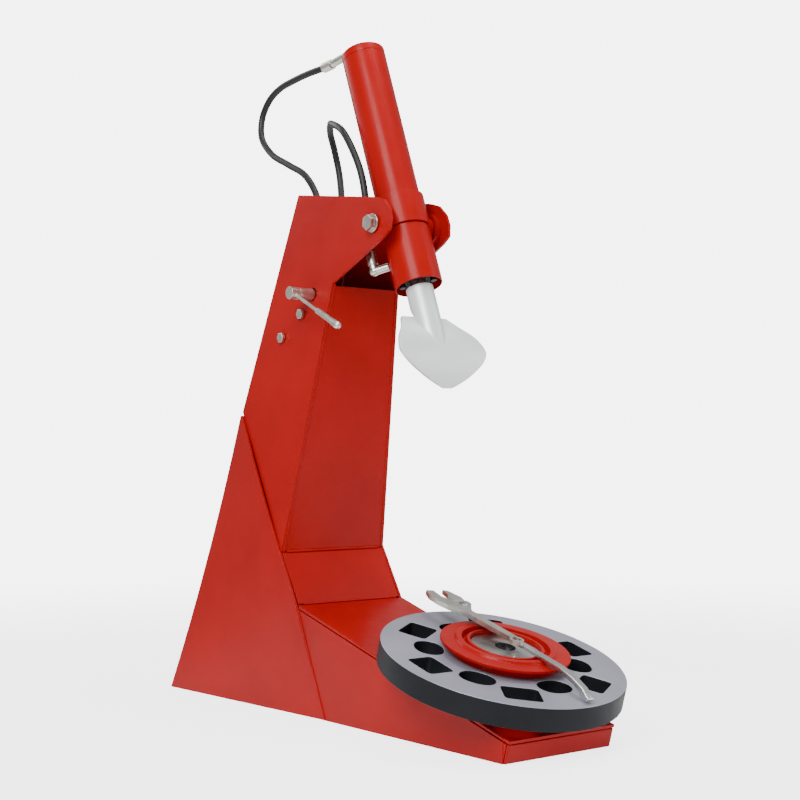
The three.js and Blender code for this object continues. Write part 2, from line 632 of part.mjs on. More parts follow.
const routes = {
  hose_top_port: [
    [-16, 339, 1178],
    [-19, 294, 1176],
    [-22, 247, 1171],
    [-25, 205, 1163],
    [-28, 173, 1146],
    [-31, 152, 1115],
    [-36, 157, 1076],
    [-41, 200, 1035],
    [-44, 264, 1004],
    [-46, 324, 974],
    [-46, 362, 928],
    [-46, 376, 872],
    [-46, 373, 818],
    [-46, 372, 796],
    [-46, 372, 775 + HOSE_GAP],
  ],
  hose_lower_port: [
    [-44, 521, 813],
    [-46, 514, 867],
    [-48, 510, 918],
    [-48, 493, 968],
    [-49, 447, 1036],
    [-31, 384, 1064],
    [-20, 366, 1067],
    [-1, 339, 1057],
    [22, 322, 1026],
    [30, 327, 976],
    [18, 345, 920],
    [-12, 352, 870],
    [-38, 350, 826],
    [-46, 348, 792],
    [-46, 348, 770 + HOSE_GAP],
  ],
};
for (const [name, route] of Object.entries(routes)) {
  add(bead_breaker, name, hose(route.map((p) => place(...p))), RUBBER);
}

// ---------------------------------------------------------------- tools laid on the hub

const tools = new THREE.Group();
turntable.add(tools);
const LEVER_TOP = HUB_HEIGHT + 7;
const leverSide = [
  [112, HUB_HEIGHT + GAP],
  [-118, HUB_HEIGHT + GAP],
  [-160, 17],
  [-182, 4],
  [-190, 3],
  [-194, 9],
  [-176, 20],
  [-150, 27],
  [-118, LEVER_TOP],
  [112, LEVER_TOP],
];
const tyreLever = sheet(leverSide, 13, (u, v, depth) => new THREE.Vector3(depth - 6.5, u, v));
tyreLever.rotateZ(rad(-2)).translate(14, 0, 0);
add(tools, "tyre_lever", tyreLever, STEEL);

const WRENCH_FOOT = LEVER_TOP + GAP;
const wrenchFlat = (outline, thickness, lift, holes) =>
  sheet(outline, thickness, (u, v, depth) => new THREE.Vector3(u, v, WRENCH_FOOT + lift + depth), holes);
const headOutline = [
  [-7, -16], [7, -16], [8, 100], [16, 112], [30, 128], [32, 140], [26, 146],
  [10, 148], [2, 156], [-2, 170], [2, 198], [-10, 202], [-20, 180], [-22, 150], [-16, 118], [-8, 100],
];
const ringEnd = rod(12, WRENCH_FOOT, WRENCH_FOOT + 7, 24).translate(0, -22, 0);
const ringHole = rod(7, 0, 80, 20).translate(0, -22, 0);
const wormWindow = new THREE.BoxGeometry(13, 15, 60).translate(15, 131, WRENCH_FOOT);
const wrenchBody = cut(join(wrenchFlat(headOutline, 8, 0), ringEnd), ringHole, wormWindow);
add(tools, "wrench_body", wrenchBody, ZINC);
const jawOutline = [[9, 149.2], [30, 147.2], [34, 160], [30, 192], [22, 198], [16, 176], [8, 166]];
add(tools, "wrench_jaw", wrenchFlat(jawOutline, 8, 0), ZINC);
const worm = rod(5.5, 9.2, 20.8, 18).rotateY(Math.PI / 2).translate(0, 131, WRENCH_FOOT + 4);
add(tools, "wrench_worm", worm, STEEL);

export default bead_breaker;
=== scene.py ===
"""A pneumatic bead breaker: finished surfaces, materials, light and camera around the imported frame."""

import json
import math

import bmesh
import bpy
from mathutils import Matrix, Vector


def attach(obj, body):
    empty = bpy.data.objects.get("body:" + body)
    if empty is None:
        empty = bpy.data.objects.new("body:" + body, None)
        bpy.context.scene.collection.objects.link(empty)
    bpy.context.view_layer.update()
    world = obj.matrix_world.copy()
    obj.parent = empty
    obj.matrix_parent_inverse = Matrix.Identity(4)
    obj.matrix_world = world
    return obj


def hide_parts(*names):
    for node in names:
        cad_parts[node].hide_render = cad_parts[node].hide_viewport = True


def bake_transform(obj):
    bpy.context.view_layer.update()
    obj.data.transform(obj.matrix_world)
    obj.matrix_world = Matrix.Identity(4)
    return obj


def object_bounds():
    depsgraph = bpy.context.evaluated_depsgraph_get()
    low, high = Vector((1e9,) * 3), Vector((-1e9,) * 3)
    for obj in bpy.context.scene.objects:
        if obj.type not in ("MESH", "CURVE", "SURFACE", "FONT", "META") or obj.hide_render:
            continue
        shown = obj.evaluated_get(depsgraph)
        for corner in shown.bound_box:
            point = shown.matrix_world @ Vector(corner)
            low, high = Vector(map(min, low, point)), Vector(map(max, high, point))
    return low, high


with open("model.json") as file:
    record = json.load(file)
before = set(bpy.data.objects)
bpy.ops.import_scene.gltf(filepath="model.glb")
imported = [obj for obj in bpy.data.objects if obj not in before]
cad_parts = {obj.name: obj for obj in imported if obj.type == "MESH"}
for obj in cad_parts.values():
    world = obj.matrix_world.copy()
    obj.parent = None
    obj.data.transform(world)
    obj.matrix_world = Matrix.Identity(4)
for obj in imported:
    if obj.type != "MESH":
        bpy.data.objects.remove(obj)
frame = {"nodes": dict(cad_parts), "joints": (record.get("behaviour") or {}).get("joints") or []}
cad_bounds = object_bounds()

MM = 0.001
JOINTS = {joint["name"]: joint for joint in frame["joints"]}
HALF_LENGTH = cad_bounds[1][1] / MM
SMOOTH_ANGLE = math.radians(38)


def place(x, forward, z):
    """A point given in millimetres: across, forward from the rear foot, and up."""
    return Vector((x, HALF_LENGTH - forward, z)) * MM


def local_frame(origin, axis):
    """Takes millimetres along a tilted part's own axes to the row frame. X stays across the machine."""
    up = Vector(axis).normalized()
    across = Vector((1, 0, 0))
    turn = Matrix((across, up.cross(across), up)).transposed().to_4x4()
    return Matrix.Translation(origin) @ turn @ Matrix.Scale(MM, 4)


UP_THE_CYLINDER = -Vector(JOINTS["rod_slide"]["axis"])
CYLINDER = local_frame(JOINTS["cylinder_tilt"]["pos_m"], UP_THE_CYLINDER)
TURNTABLE = local_frame(JOINTS["turntable_spin"]["pos_m"], JOINTS["turntable_spin"]["axis"])
IN_PLACE = Matrix.Identity(4)


# ---------------------------------------------------------------- camera

# Fitted to the photograph: angles in degrees, lens and sensor in millimetres, place in metres.
CAMERA_AZIMUTH = -38.0084
CAMERA_ELEVATION = -1.681
CAMERA_PLACE = (-1.6133, -2.1083, 0.4772)
CAMERA_LENS = 67.42
SENSOR_WIDTH = 36
CAMERA_REACH = 60


def add_camera():
    azimuth, elevation = math.radians(CAMERA_AZIMUTH), math.radians(CAMERA_ELEVATION)
    back = Vector((
        math.sin(azimuth) * math.cos(elevation),
        -math.cos(azimuth) * math.cos(elevation),
        math.sin(elevation),
    ))
    right = Vector((math.cos(azimuth), math.sin(azimuth), 0))
    data = bpy.data.cameras.new("camera")
    data.sensor_width = SENSOR_WIDTH
    data.lens = CAMERA_LENS
    data.clip_end = CAMERA_REACH
    camera = bpy.data.objects.new("camera", data)
    turn = Matrix((right, back.cross(right), back)).transposed().to_4x4()
    camera.matrix_world = Matrix.Translation(CAMERA_PLACE) @ turn
    bpy.context.scene.collection.objects.link(camera)
    bpy.context.scene.camera = camera


add_camera()


# ---------------------------------------------------------------- materials


def node_material(name):
    """A new material with its node tree and its main shader."""
    made = bpy.data.materials.new(name)
    made.use_nodes = True
    tree = made.node_tree
    return made, tree, tree.nodes["Principled BSDF"]


def noise(tree, scale, detail, stretch=(1, 1, 1)):
    """Noise in the object's own coordinates, stretched along its axes."""
    coordinates = tree.nodes.new("ShaderNodeTexCoord")
    mapping = tree.nodes.new("ShaderNodeMapping")
    mapping.inputs["Scale"].default_value = stretch
    texture = tree.nodes.new("ShaderNodeTexNoise")
    texture.inputs["Scale"].default_value = scale
    texture.inputs["Detail"].default_value = detail
    tree.links.new(coordinates.outputs["Object"], mapping.inputs["Vector"])
    tree.links.new(mapping.outputs["Vector"], texture.inputs["Vector"])
    return texture.outputs["Fac"]


def between(tree, source, low, high):
    """Spreads the middle of a noise between two values."""
    spread = tree.nodes.new("ShaderNodeMapRange")
    for socket, value in zip(("From Min", "From Max", "To Min", "To Max"), (0.3, 0.7, low, high)):
        spread.inputs[socket].default_value = value
    tree.links.new(source, spread.inputs["Value"])
    return spread.outputs["Result"]


def mixed(tree, factor, first, second):
    """A colour between two, by a factor from 0 to 1."""
    blend = tree.nodes.new("ShaderNodeMix")
    blend.data_type = "RGBA"
    blend.inputs["A"].default_value = (*first, 1)
    blend.inputs["B"].default_value = (*second, 1)
    tree.links.new(factor, blend.inputs["Factor"])
    return blend.outputs["Result"]


def surface(name, dark, light, roughness, metallic=0.0, patch=7.0, grain=500.0, bump=0.06,
            stretch=(1, 1, 1), coat=0.0, specular=0.25):
    """A finish with slow colour changes, uneven gloss and a fine relief."""
    made, tree, shader = node_material(name)
    shader.inputs["Specular IOR Level"].default_value = specular
    slow = between(tree, noise(tree, patch, 5), 0, 1)
    fine = noise(tree, grain, 3, stretch)
    tree.links.new(mixed(tree, slow, dark, light), shader.inputs["Base Color"])
    tree.links.new(between(tree, noise(tree, patch * 3, 6, stretch), *roughness), shader.inputs["Roughness"])
    relief = tree.nodes.new("ShaderNodeBump")
    relief.inputs["Strength"].default_value = bump
    relief.inputs["Distance"].default_value = 0.3 * MM
    tree.links.new(fine, relief.inputs["Height"])
    tree.links.new(relief.outputs["Normal"], shader.inputs["Normal"])
    shader.inputs["Metallic"].default_value = metallic
    shader.inputs["Coat Weight"].default_value = coat
    shader.inputs["Coat Roughness"].default_value = 0.12
    return made


ALONG_X = (0.04, 1, 1)
MATERIALS = {
    "red_paint": surface("red_paint", (0.27, 0.0003, 0.0001), (0.33, 0.0006, 0.0002), (0.28, 0.40),
                         grain=260, bump=0.08, coat=0.05, specular=0.12),
    # disc_coating is painted paler than the coating is, as a painted highlight on the top; the next disc
    # material is the same coating painted near black as painted shade for the rim and the walls of the
    # openings.
    "disc_coating": surface("disc_coating", (0.22, 0.215, 0.265), (0.27, 0.265, 0.32), (0.34, 0.48),
                            metallic=0.25, grain=700, bump=0.12, coat=0.15),
    "disc_painted_shade": surface("disc_painted_shade", (0.006, 0.007, 0.009), (0.010, 0.011, 0.014), (0.42, 0.55),
                        grain=700, bump=0.12, specular=0.12),
    "dark_steel": surface("dark_steel", (0.012, 0.012, 0.014), (0.03, 0.03, 0.034), (0.35, 0.5),
                          metallic=0.6, bump=0.1),
    "bright_steel": surface("bright_steel", (0.46, 0.46, 0.46), (0.62, 0.62, 0.61), (0.22, 0.38),
                            metallic=1, bump=0.12, stretch=ALONG_X),
    "zinc_plate": surface("zinc_plate", (0.50, 0.48, 0.43), (0.68, 0.66, 0.60), (0.24, 0.42),
                          metallic=1, patch=30, bump=0.12),
    "blade_finish": surface("blade_finish", (0.66, 0.68, 0.69), (0.76, 0.78, 0.79), (0.32, 0.46),
                            metallic=0.35, bump=0.12),
    "bronze": surface("bronze", (0.40, 0.25, 0.09), (0.52, 0.34, 0.14), (0.28, 0.42), metallic=1),
    "seal_rubber": surface("seal_rubber", (0.012, 0.012, 0.012), (0.02, 0.02, 0.02), (0.5, 0.65)),
    "hose_rubber": surface("hose_rubber", (0.010, 0.011, 0.010), (0.020, 0.021, 0.020), (0.34, 0.5),
                           patch=20, grain=900, bump=0.2),
}


# ---------------------------------------------------------------- building pieces

# The sides of a small turned piece.
SMALL_SIDES = 48
# Points closer than this, in metres, are one point. Faces that turn less than this are one face.
SAME_POINT = 1e-5
FLAT_ANGLE = math.radians(0.5)


def baked(thing):
    """Applies the object's modifiers to its mesh."""
    depsgraph = bpy.context.evaluated_depsgraph_get()
    mesh = bpy.data.meshes.new_from_object(thing.evaluated_get(depsgraph))
    thing.modifiers.clear()
    thing.data = mesh
    return mesh


def as_object(name, bm, matrix):
    """Moves a mesh into the row frame and makes an object of it."""
    bmesh.ops.transform(bm, matrix=matrix, verts=bm.verts)
    bmesh.ops.recalc_face_normals(bm, faces=bm.faces)
    mesh = bpy.data.meshes.new(name)
    bm.to_mesh(mesh)
    bm.free()
    made = bpy.data.objects.new(name, mesh)
    bpy.context.scene.collection.objects.link(made)
    return made


def dressed(made, body, slot, nodes=(), bevel=0.8, segments=2):
    """Rounds the edges, smooths the shading, gives the piece its body and its slot's material, and hides the
    CAD nodes it stands for.
    """
    if bevel:
        edge = made.modifiers.new("edge", "BEVEL")
        edge.width = bevel * MM
        edge.segments = segments
        edge.limit_method = "ANGLE"
        edge.angle_limit = SMOOTH_ANGLE
        baked(made)
    made.data.shade_smooth()
    made.data.set_sharp_from_angle(angle=SMOOTH_ANGLE)
    flatten = made.modifiers.new("flatten", "WEIGHTED_NORMAL")
    flatten.keep_sharp = True
    baked(made)
    made.data.materials.clear()
    made.data.materials.append(MATERIALS[slot])
    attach(made, body)
    if nodes:
        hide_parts(*nodes)
    return made


def rounded(node, body, slot, bevel=0.8, segments=2):
    """A CAD piece with its edges rounded, as a bent, ground or cast piece has them."""
    bm = bmesh.new()
    bm.from_mesh(frame["nodes"][node].data)
    bmesh.ops.remove_doubles(bm, verts=bm.verts, dist=SAME_POINT)
    bmesh.ops.dissolve_limit(bm, angle_limit=FLAT_ANGLE, verts=bm.verts, edges=bm.edges)
    return dressed(as_object(node + "_finished", bm, IN_PLACE), body, slot, (node,), bevel, segments)


def revolved(profile, sides=112):
    """A solid of revolution about Z from [radius, z] points, closed on itself or on the axis."""
    bm = bmesh.new()
    rings = []
    for radius, z in profile:
        if radius == 0:
            rings.append([bm.verts.new((0, 0, z))] * sides)
            continue
        turns = (2 * math.pi * k / sides for k in range(sides))
        rings.append([bm.verts.new((radius * math.cos(a), radius * math.sin(a), z)) for a in turns])
    follows = rings[1:] if profile[0][0] == 0 else rings[1:] + rings[:1]
    for first, second in zip(rings, follows):
        for k in range(sides):
            n = (k + 1) % sides
            corners = dict.fromkeys((first[k], first[n], second[n], second[k]))
            if len(corners) > 2:
                bm.faces.new(corners)
    return bm


def ring(outer, inner, low, high):
    """A plain tube about Z."""
    return revolved([(inner, low), (outer, low), (outer, high), (inner, high)])


def axis_matrix(start, end):
    """Takes millimetres along Z from start to the row frame, with both points given in metres."""
    turn = (Vector(end) - Vector(start)).to_track_quat("Z", "Y").to_matrix().to_4x4()
    return Matrix.Translation(start) @ turn @ Matrix.Scale(MM, 4)


def spline_point(points, at):
    """A uniform Catmull-Rom curve through the points; at runs from 0 to 1."""
    last = len(points) - 1
    whole = min(int(at * last), last - 1)
    t = at * last - whole
    a, b, c, d = (points[min(max(whole + k, 0), last)] for k in (-1, 0, 1, 2))
    return [
        q + t * (0.5 * (r - p) + t * (p - 2.5 * q + 2 * r - 0.5 * s + t * (0.5 * (s - p) + 1.5 * (q - r))))
        for p, q, r, s in zip(a, b, c, d)
    ]


def tube(path, radii, sides=20):
    """A closed tube along a path, with one radius for each point. Both are in metres."""
    bm = bmesh.new()
    rings = []
    across = None
    for i, point in enumerate(path):
        along = (path[min(i + 1, len(path) - 1)] - path[max(i - 1, 0)]).normalized()
        if across is None:
            across = along.orthogonal().normalized()
        across = (across - along * across.dot(along)).normalized()
        up = along.cross(across)
        turns = (2 * math.pi * k / sides for k in range(sides))
        spokes = (across * math.cos(a) + up * math.sin(a) for a in turns)
        rings.append([bm.verts.new(point + spoke * radii[i]) for spoke in spokes])
    for first, second in zip(rings, rings[1:]):
        for k in range(sides):
            bm.faces.new((first[k], first[(k + 1) % sides], second[(k + 1) % sides], second[k]))
    bm.faces.new(rings[0])
    bm.faces.new(rings[-1])
    return bm


# ---------------------------------------------------------------- hoses

HOSE_DIAMETER = 12.6 * MM
# How far each hose's end stays above the valve's port.
HOSE_GAP = 0.9
# Points of the drawn hose for each point of its route.
HOSE_STEPS = 9
# Each route runs from the cylinder's fitting to the valve, as (across, forward, up) in millimetres.
ROUTES = {
    "hose_top_port": [
        (-16, 339, 1178), (-19, 294, 1176), (-22, 247, 1171), (-25, 205, 1163), (-28, 173, 1146),
        (-31, 152, 1115), (-36, 157, 1076), (-41, 200, 1035), (-44, 264, 1004), (-46, 324, 974),
        (-46, 362, 928), (-46, 376, 872), (-46, 373, 818), (-46, 372, 796), (-46, 372, 775 + HOSE_GAP),
    ],
    "hose_lower_port": [
        (-44, 521, 813), (-46, 514, 867), (-48, 510, 918), (-48, 493, 968), (-49, 447, 1036),
        (-31, 384, 1064), (-20, 366, 1067), (-1, 339, 1057), (22, 322, 1026), (30, 327, 976),
        (18, 345, 920), (-12, 352, 870), (-38, 350, 826), (-46, 348, 792), (-46, 348, 770 + HOSE_GAP),
    ],
}


def centripetal(points, steps):
    """A centripetal Catmull-Rom curve through the points, with its ends run straight on."""
    points = [2 * points[0] - points[1], *points, 2 * points[-1] - points[-2]]
    path = []
    for p0, p1, p2, p3 in zip(points, points[1:], points[2:], points[3:]):
        d = [max((b - a).length, 1e-9) ** 0.5 for a, b in ((p0, p1), (p1, p2), (p2, p3))]
        t0, t1, t2, t3 = 0, d[0], d[0] + d[1], d[0] + d[1] + d[2]
        for k in range(steps):
            t = t1 + (t2 - t1) * k / steps
            a1 = p0.lerp(p1, (t - t0) / (t1 - t0))
            a2 = p1.lerp(p2, (t - t1) / (t2 - t1))
            a3 = p2.lerp(p3, (t - t2) / (t3 - t2))
            path.append(a1.lerp(a2, (t - t0) / (t2 - t0)).lerp(a2.lerp(a3, (t - t1) / (t3 - t1)),
                                                              (t - t1) / (t2 - t1)))
    return [*path, points[-2]]


def add_hose(node):
    """One hose, drawn as a tube along its route from the cylinder's fitting to the valve's port."""
    path = centripetal([place(*point) for point in ROUTES[node]], HOSE_STEPS)
    hose = as_object(node + "_tube", tube(path, [HOSE_DIAMETER / 2] * len(path)), IN_PLACE)
    hose.data.shade_smooth()
    hose.data.set_sharp_from_angle(angle=SMOOTH_ANGLE)
    hose.data.materials.append(MATERIALS["hose_rubber"])
    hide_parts(node)
    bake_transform(hose)


for hose_node in ROUTES:
    add_hose(hose_node)


# ---------------------------------------------------------------- frame

SHEETS = ["column_front_plate", "sloped_panel", "deck_plate", "floor_plate", "back_plate"]
for sheet_node in SHEETS:
    rounded(sheet_node, "frame", "red_paint", 0.7)
for hand in ("left", "right"):
    rounded("side_plate_" + hand, "frame", "red_paint", 0.8)
    rounded("rear_side_panel_" + hand, "frame", "red_paint", 1.2, 3)
    rounded("base_side_" + hand, "frame", "red_paint", 0.7)
    rounded("trunnion_bush_" + hand, "frame", "bronze", 0.4)
rounded("base_front_plate", "frame", "red_paint", 2.3, 4)
rounded("bearing_housing", "frame", "dark_steel", 1)
for bearing_node in ("upper_bearing", "lower_bearing"):
    rounded(bearing_node, "frame", "bright_steel", 0.6)


# A weld's ripples, as the step between its rings in millimetres, their share of the radius, and their turn.
RIPPLE_STEP = 1.1
RIPPLE_DEPTH = 0.13
RIPPLE_TURN = 1.9
BEAD_SIDES = 10


def weld(name, points, body, radius=2.2):
    """A weld bead with the ripples of its run, along straight stretches between the points."""
    path, radii = [], []
    for start, end in zip(points, points[1:]):
        steps = max(int((end - start).length / (RIPPLE_STEP * MM)), 2)
        path += [start.lerp(end, k / steps) for k in range(steps)]
    path.append(points[-1])
    for i in range(len(path)):
        radii.append(radius * MM * (1 + RIPPLE_DEPTH * math.sin(RIPPLE_TURN * i)))
    dressed(as_object(name, tube(path, radii, BEAD_SIDES), IN_PLACE), body, "red_paint", (), 0)


# Corners of the frame's side view, as (forward, up) in millimetres.
COLUMN_FOOT = (349, 283)
COLUMN_FRONT_TOP = (450, 762)
DECK_REAR = (402, 192.5)
PANEL_TOE = (486, 1)
BASE_FRONT = 944
DECK_SLOPE = math.radians(15.75)
BASE_FRONT_TOP = DECK_REAR[1] - (BASE_FRONT - DECK_REAR[0]) * math.tan(DECK_SLOPE)
# Half widths, and how much each narrows for a millimetre forward or up.
BASE_HALF = 116
BASE_TAPER = 0.0092
COLUMN_HALF = 139.5
COLUMN_TAPER = 0.085
# The ends of the welds along the sides, close to the corners above.
COLUMN_WELD = (COLUMN_FOOT, COLUMN_FRONT_TOP)
DECK_WELD = ((DECK_REAR[0] + 6, DECK_REAR[1] - 3), (BASE_FRONT - 2, BASE_FRONT_TOP - 1))
TOE_WELD = (PANEL_TOE, (DECK_REAR[0] + 1, DECK_REAR[1] - 6))
CORNER_FORWARD = BASE_FRONT - 5.2
CORNER_HEIGHTS = (2, BASE_FRONT_TOP - 5)
# How far inside the half widths the welds run, and how far outside for the toe's.
COLUMN_INSET = 6
DECK_INSET = 0.4
CORNER_INSET = 0.2
TOE_OUTSET = 0.2
# The welds across the machine: half their lengths, and where the front one lies.
PANEL_WELD_HALF = 104
FRONT_WELD_HALF = 108
FRONT_WELD = (BASE_FRONT + 8.5, BASE_FRONT_TOP - 5.5)
# Radii of the beads, and how far some of their middles sit off the corners.
SEAM = 1.5
COLUMN_SEAM = 1.8
TOE_SEAM = SEAM + 0.6
OFF_FACE = 0.5


def base_half(forward):
    return BASE_HALF - BASE_TAPER * (forward - DECK_REAR[0])


def column_half(z):
    return COLUMN_HALF - COLUMN_TAPER * z


def add_frame_welds():
    for hand, side in (("left", -1), ("right", 1)):
        column = [place(side * (column_half(z) - COLUMN_INSET), f - OFF_FACE, z) for f, z in COLUMN_WELD]
        weld("column_weld_" + hand, column, "frame", COLUMN_SEAM)
        deck = [place(side * (base_half(f) - DECK_INSET), f, z) for f, z in DECK_WELD]
        weld("deck_weld_" + hand, deck, "frame", SEAM)
        corner_half = base_half(BASE_FRONT) - CORNER_INSET
        corner = [place(side * corner_half, CORNER_FORWARD, z) for z in CORNER_HEIGHTS]
        weld("corner_weld_" + hand, corner, "frame", SEAM)
        toe = [place(side * (base_half(f) + TOE_OUTSET), f, z) for f, z in TOE_WELD]
        weld("toe_weld_" + hand, toe, "frame", TOE_SEAM)
    for name, (forward, z) in (("foot", COLUMN_FOOT), ("deck", DECK_REAR)):
        ends = [place(x, forward + OFF_FACE, z) for x in (-PANEL_WELD_HALF, PANEL_WELD_HALF)]
        weld("panel_weld_" + name, ends, "frame")
    ends = [place(x, *FRONT_WELD) for x in (-FRONT_WELD_HALF, FRONT_WELD_HALF)]
    weld("front_weld", ends, "frame", SEAM)


add_frame_welds()


# ---------------------------------------------------------------- turntable

DISC_RADIUS = 200
DISC_THICKNESS = 38
SPINDLE_RADIUS = 20
HUB_RADIUS = 106
HUB_HEIGHT = 24
HUB_PLATE_RADIUS = 55
EDGE = 1.6
# The gap between pieces that fit one in another.
GAP = 0.3
# The disc's openings: half sizes, how square, how far off the middle, and points around.
OPENING_PAIRS = 6
SQUARED_OPENING = {"half_x": 30, "half_y": 24, "power": 9, "centre": -150, "count": 64}
OVAL_OPENING = {"half_x": 29, "half_y": 24, "power": 2.2, "centre": -122, "count": 56}
RIM_POINTS = 200
# How far a face must turn to the top to have the pale coating, a painted highlight; faces that turn less
# take the painted shade.
PAINTED_LIGHT_FACING = 0.7


def superellipse(half_x, half_y, power, centre, turn, count=48):
    """An outline between an oval (power 2) and a rectangle with rounded corners (a high power)."""
    points = []
    for k in range(count):
        a = 2 * math.pi * k / count
        c, s = math.cos(a), math.sin(a)
        x = math.copysign(abs(c) ** (2 / power), c) * half_x
        y = math.copysign(abs(s) ** (2 / power), s) * half_y + centre
        points.append((x * math.cos(turn) - y * math.sin(turn), x * math.sin(turn) + y * math.cos(turn)))
    return points


def add_disc():
    """The turntable's disc, pierced by six squared and six oval openings."""
    hole = SPINDLE_RADIUS + GAP
    outlines = [
        superellipse(DISC_RADIUS, DISC_RADIUS, 2, 0, 0, RIM_POINTS),
        superellipse(hole, hole, 2, 0, 0),
    ]
    for k in range(OPENING_PAIRS):
        turn = math.radians(360 / OPENING_PAIRS * k)
        outlines.append(superellipse(turn=turn + math.radians(180 / OPENING_PAIRS), **SQUARED_OPENING))
        outlines.append(superellipse(turn=turn, **OVAL_OPENING))
    curve = bpy.data.curves.new("disc_outline", "CURVE")
    curve.dimensions = "2D"
    curve.fill_mode = "BOTH"
    curve.extrude = DISC_THICKNESS / 2 - EDGE
    curve.bevel_depth = EDGE
    curve.bevel_resolution = 2
    curve.offset = -EDGE
    for outline in outlines:
        spline = curve.splines.new("POLY")
        spline.points.add(len(outline) - 1)
        spline.use_cyclic_u = True
        for point, (x, y) in zip(spline.points, outline):
            point.co = (x, y, 0, 1)
    holder = bpy.data.objects.new("disc_outline", curve)
    bpy.context.scene.collection.objects.link(holder)
    depsgraph = bpy.context.evaluated_depsgraph_get()
    mesh = bpy.data.meshes.new_from_object(holder.evaluated_get(depsgraph))
    bpy.data.objects.remove(holder)
    bm = bmesh.new()
    bm.from_mesh(mesh)
    bmesh.ops.remove_doubles(bm, verts=bm.verts, dist=SAME_POINT / MM)
    lowered = TURNTABLE @ Matrix.Translation((0, 0, -DISC_THICKNESS / 2))
    disc = dressed(as_object("turntable_disc_finished", bm, lowered), "turntable", "disc_coating",
                   ("turntable_disc",), 0)
    # The top face is painted pale as a painted highlight, and the rim and the walls of the openings are
    # painted dark as painted shade, though both are one coating.
    disc.data.materials.append(MATERIALS["disc_painted_shade"])
    top = Vector(JOINTS["turntable_spin"]["axis"])
    for polygon in disc.data.polygons:
        polygon.material_index = 0 if polygon.normal.dot(top) > PAINTED_LIGHT_FACING else 1


add_disc()

# Turned outlines, as (radius, height above the disc).
HUB_BORE = HUB_PLATE_RADIUS + 3
HUB_PROFILE = [
    # The foot on the disc, then the flange.
    (HUB_BORE, GAP), (90, GAP), (94, 12), (HUB_RADIUS, 14), (HUB_RADIUS, 19), (84, 20),
    # The raised lip.
    (81, HUB_HEIGHT), (72, HUB_HEIGHT),
    # The groove inside it, then the inner step.
    (70, 14), (65, 14), (63, 22), (HUB_BORE, 22),
]
PLATE_EDGE = HUB_PLATE_RADIUS + 2
PLATE_PROFILE = [(17, 5), (PLATE_EDGE, 5), (PLATE_EDGE, 15), (50, 15.3), (48, 14.9), (24, 17), (17, 17)]
dressed(as_object("centring_hub_finished", revolved(HUB_PROFILE), TURNTABLE),
        "turntable", "red_paint", ("centring_hub",), 0.9, 3)
dressed(as_object("hub_plate_finished", revolved(PLATE_PROFILE), TURNTABLE),
        "turntable", "bright_steel", ("hub_plate",), 0.5)
# The spindle takes the dark steel as painted shade: it is bright steel, painted dark where it sits in the
# shadowed centre hole.
rounded("spindle", "turntable", "dark_steel", 0.6)
rounded("spindle_nut", "turntable", "dark_steel", 0.8)


# ---------------------------------------------------------------- cylinder

# Lengths run up the cylinder from the trunnion.
BARREL_RADIUS = 39.5
BORE_RADIUS = 35
BARREL = (-104, 338)
SLEEVE_RADIUS = 42
SLEEVE = (-116, -11)
CAP = (318, 354)
CAP_CHAMFER = 3

CAP_PROFILE = [
    (0, CAP[0]), (BORE_RADIUS - GAP, CAP[0]), (BORE_RADIUS - GAP, BARREL[1] + GAP),
    (BARREL_RADIUS, BARREL[1] + GAP), (BARREL_RADIUS, CAP[1] - CAP_CHAMFER),
    (BARREL_RADIUS - CAP_CHAMFER, CAP[1]), (0, CAP[1]),
]


def on_cylinder(node, bm, bevel):
    """A painted piece of the cylinder, made about its axis."""
    dressed(as_object(node + "_finished", bm, CYLINDER), "cylinder", "red_paint", (node,), bevel)


on_cylinder("cylinder_barrel", ring(BARREL_RADIUS, BORE_RADIUS, *BARREL), 0.5)
on_cylinder("lower_sleeve", ring(SLEEVE_RADIUS, BARREL_RADIUS + GAP, *SLEEVE), 1)
on_cylinder("top_cap", revolved(CAP_PROFILE), 1)
rounded("trunnion_collar", "cylinder", "red_paint", 1, 3)
rounded("bottom_cap", "cylinder", "dark_steel", 0.6)
rounded("rod_seal", "cylinder", "seal_rubber", 0.4)
for index in range(1, 5):
    rounded(f"gland_bolt_{index}", "cylinder", "dark_steel", 0.5)
for hand in ("left", "right"):
    rounded("trunnion_bolt_" + hand, "cylinder", "zinc_plate", 1, 3)
    rounded("trunnion_washer_" + hand, "cylinder", "zinc_plate", 0.6)
for elbow_node in ("top_port_elbow", "lower_port_elbow"):
    rounded(elbow_node, "cylinder", "zinc_plate", 0.6)


# ---------------------------------------------------------------- rod and blade

ROD_RADIUS = 14
SHANK_RADIUS = 24
SHANK_TOP = -119
# Along the blade's middle: (offset to the front, distance below the trunnion).
BLADE_LINE = [(-6, 171), (17, 213), (26, 250), (22, 281), (12, 310)]
# The blade's outline: (share of its length, half its width).
BLADE_HALF = [
    (0, 49), (0.16, 62), (0.34, 82), (0.5, 92), (0.6, 91), (0.72, 77), (0.86, 49), (0.95, 25), (1, 8),
]
BLADE_THICKNESS = 6
BLADE_ROWS = 56
BLADE_COLUMNS = 24
MIDDLE_STEPS = 240
SHANK_SIDES = 96
# How far the shank stops short of the blade's line, and the steps in which that line is followed.
SHANK_SHORT = 0.5
CUT_STEPS = 200


def blade_middle():
    """A function from a share of the blade's length to the point there and its direction."""
    fine = [Vector(spline_point(BLADE_LINE, k / MIDDLE_STEPS)) for k in range(MIDDLE_STEPS + 1)]
    last = MIDDLE_STEPS - 1
    lengths = [0]
    for a, b in zip(fine, fine[1:]):
        lengths.append(lengths[-1] + (b - a).length)

    def at(share):
        wanted = share * lengths[-1]
        i = next((k for k, run in enumerate(lengths) if run >= wanted), last)
        i = max(min(i, last), 1)
        point = fine[i - 1].lerp(fine[i], (wanted - lengths[i - 1]) / (lengths[i] - lengths[i - 1]))
        return point, (fine[i + 1] - fine[i - 1]).normalized()

    return at


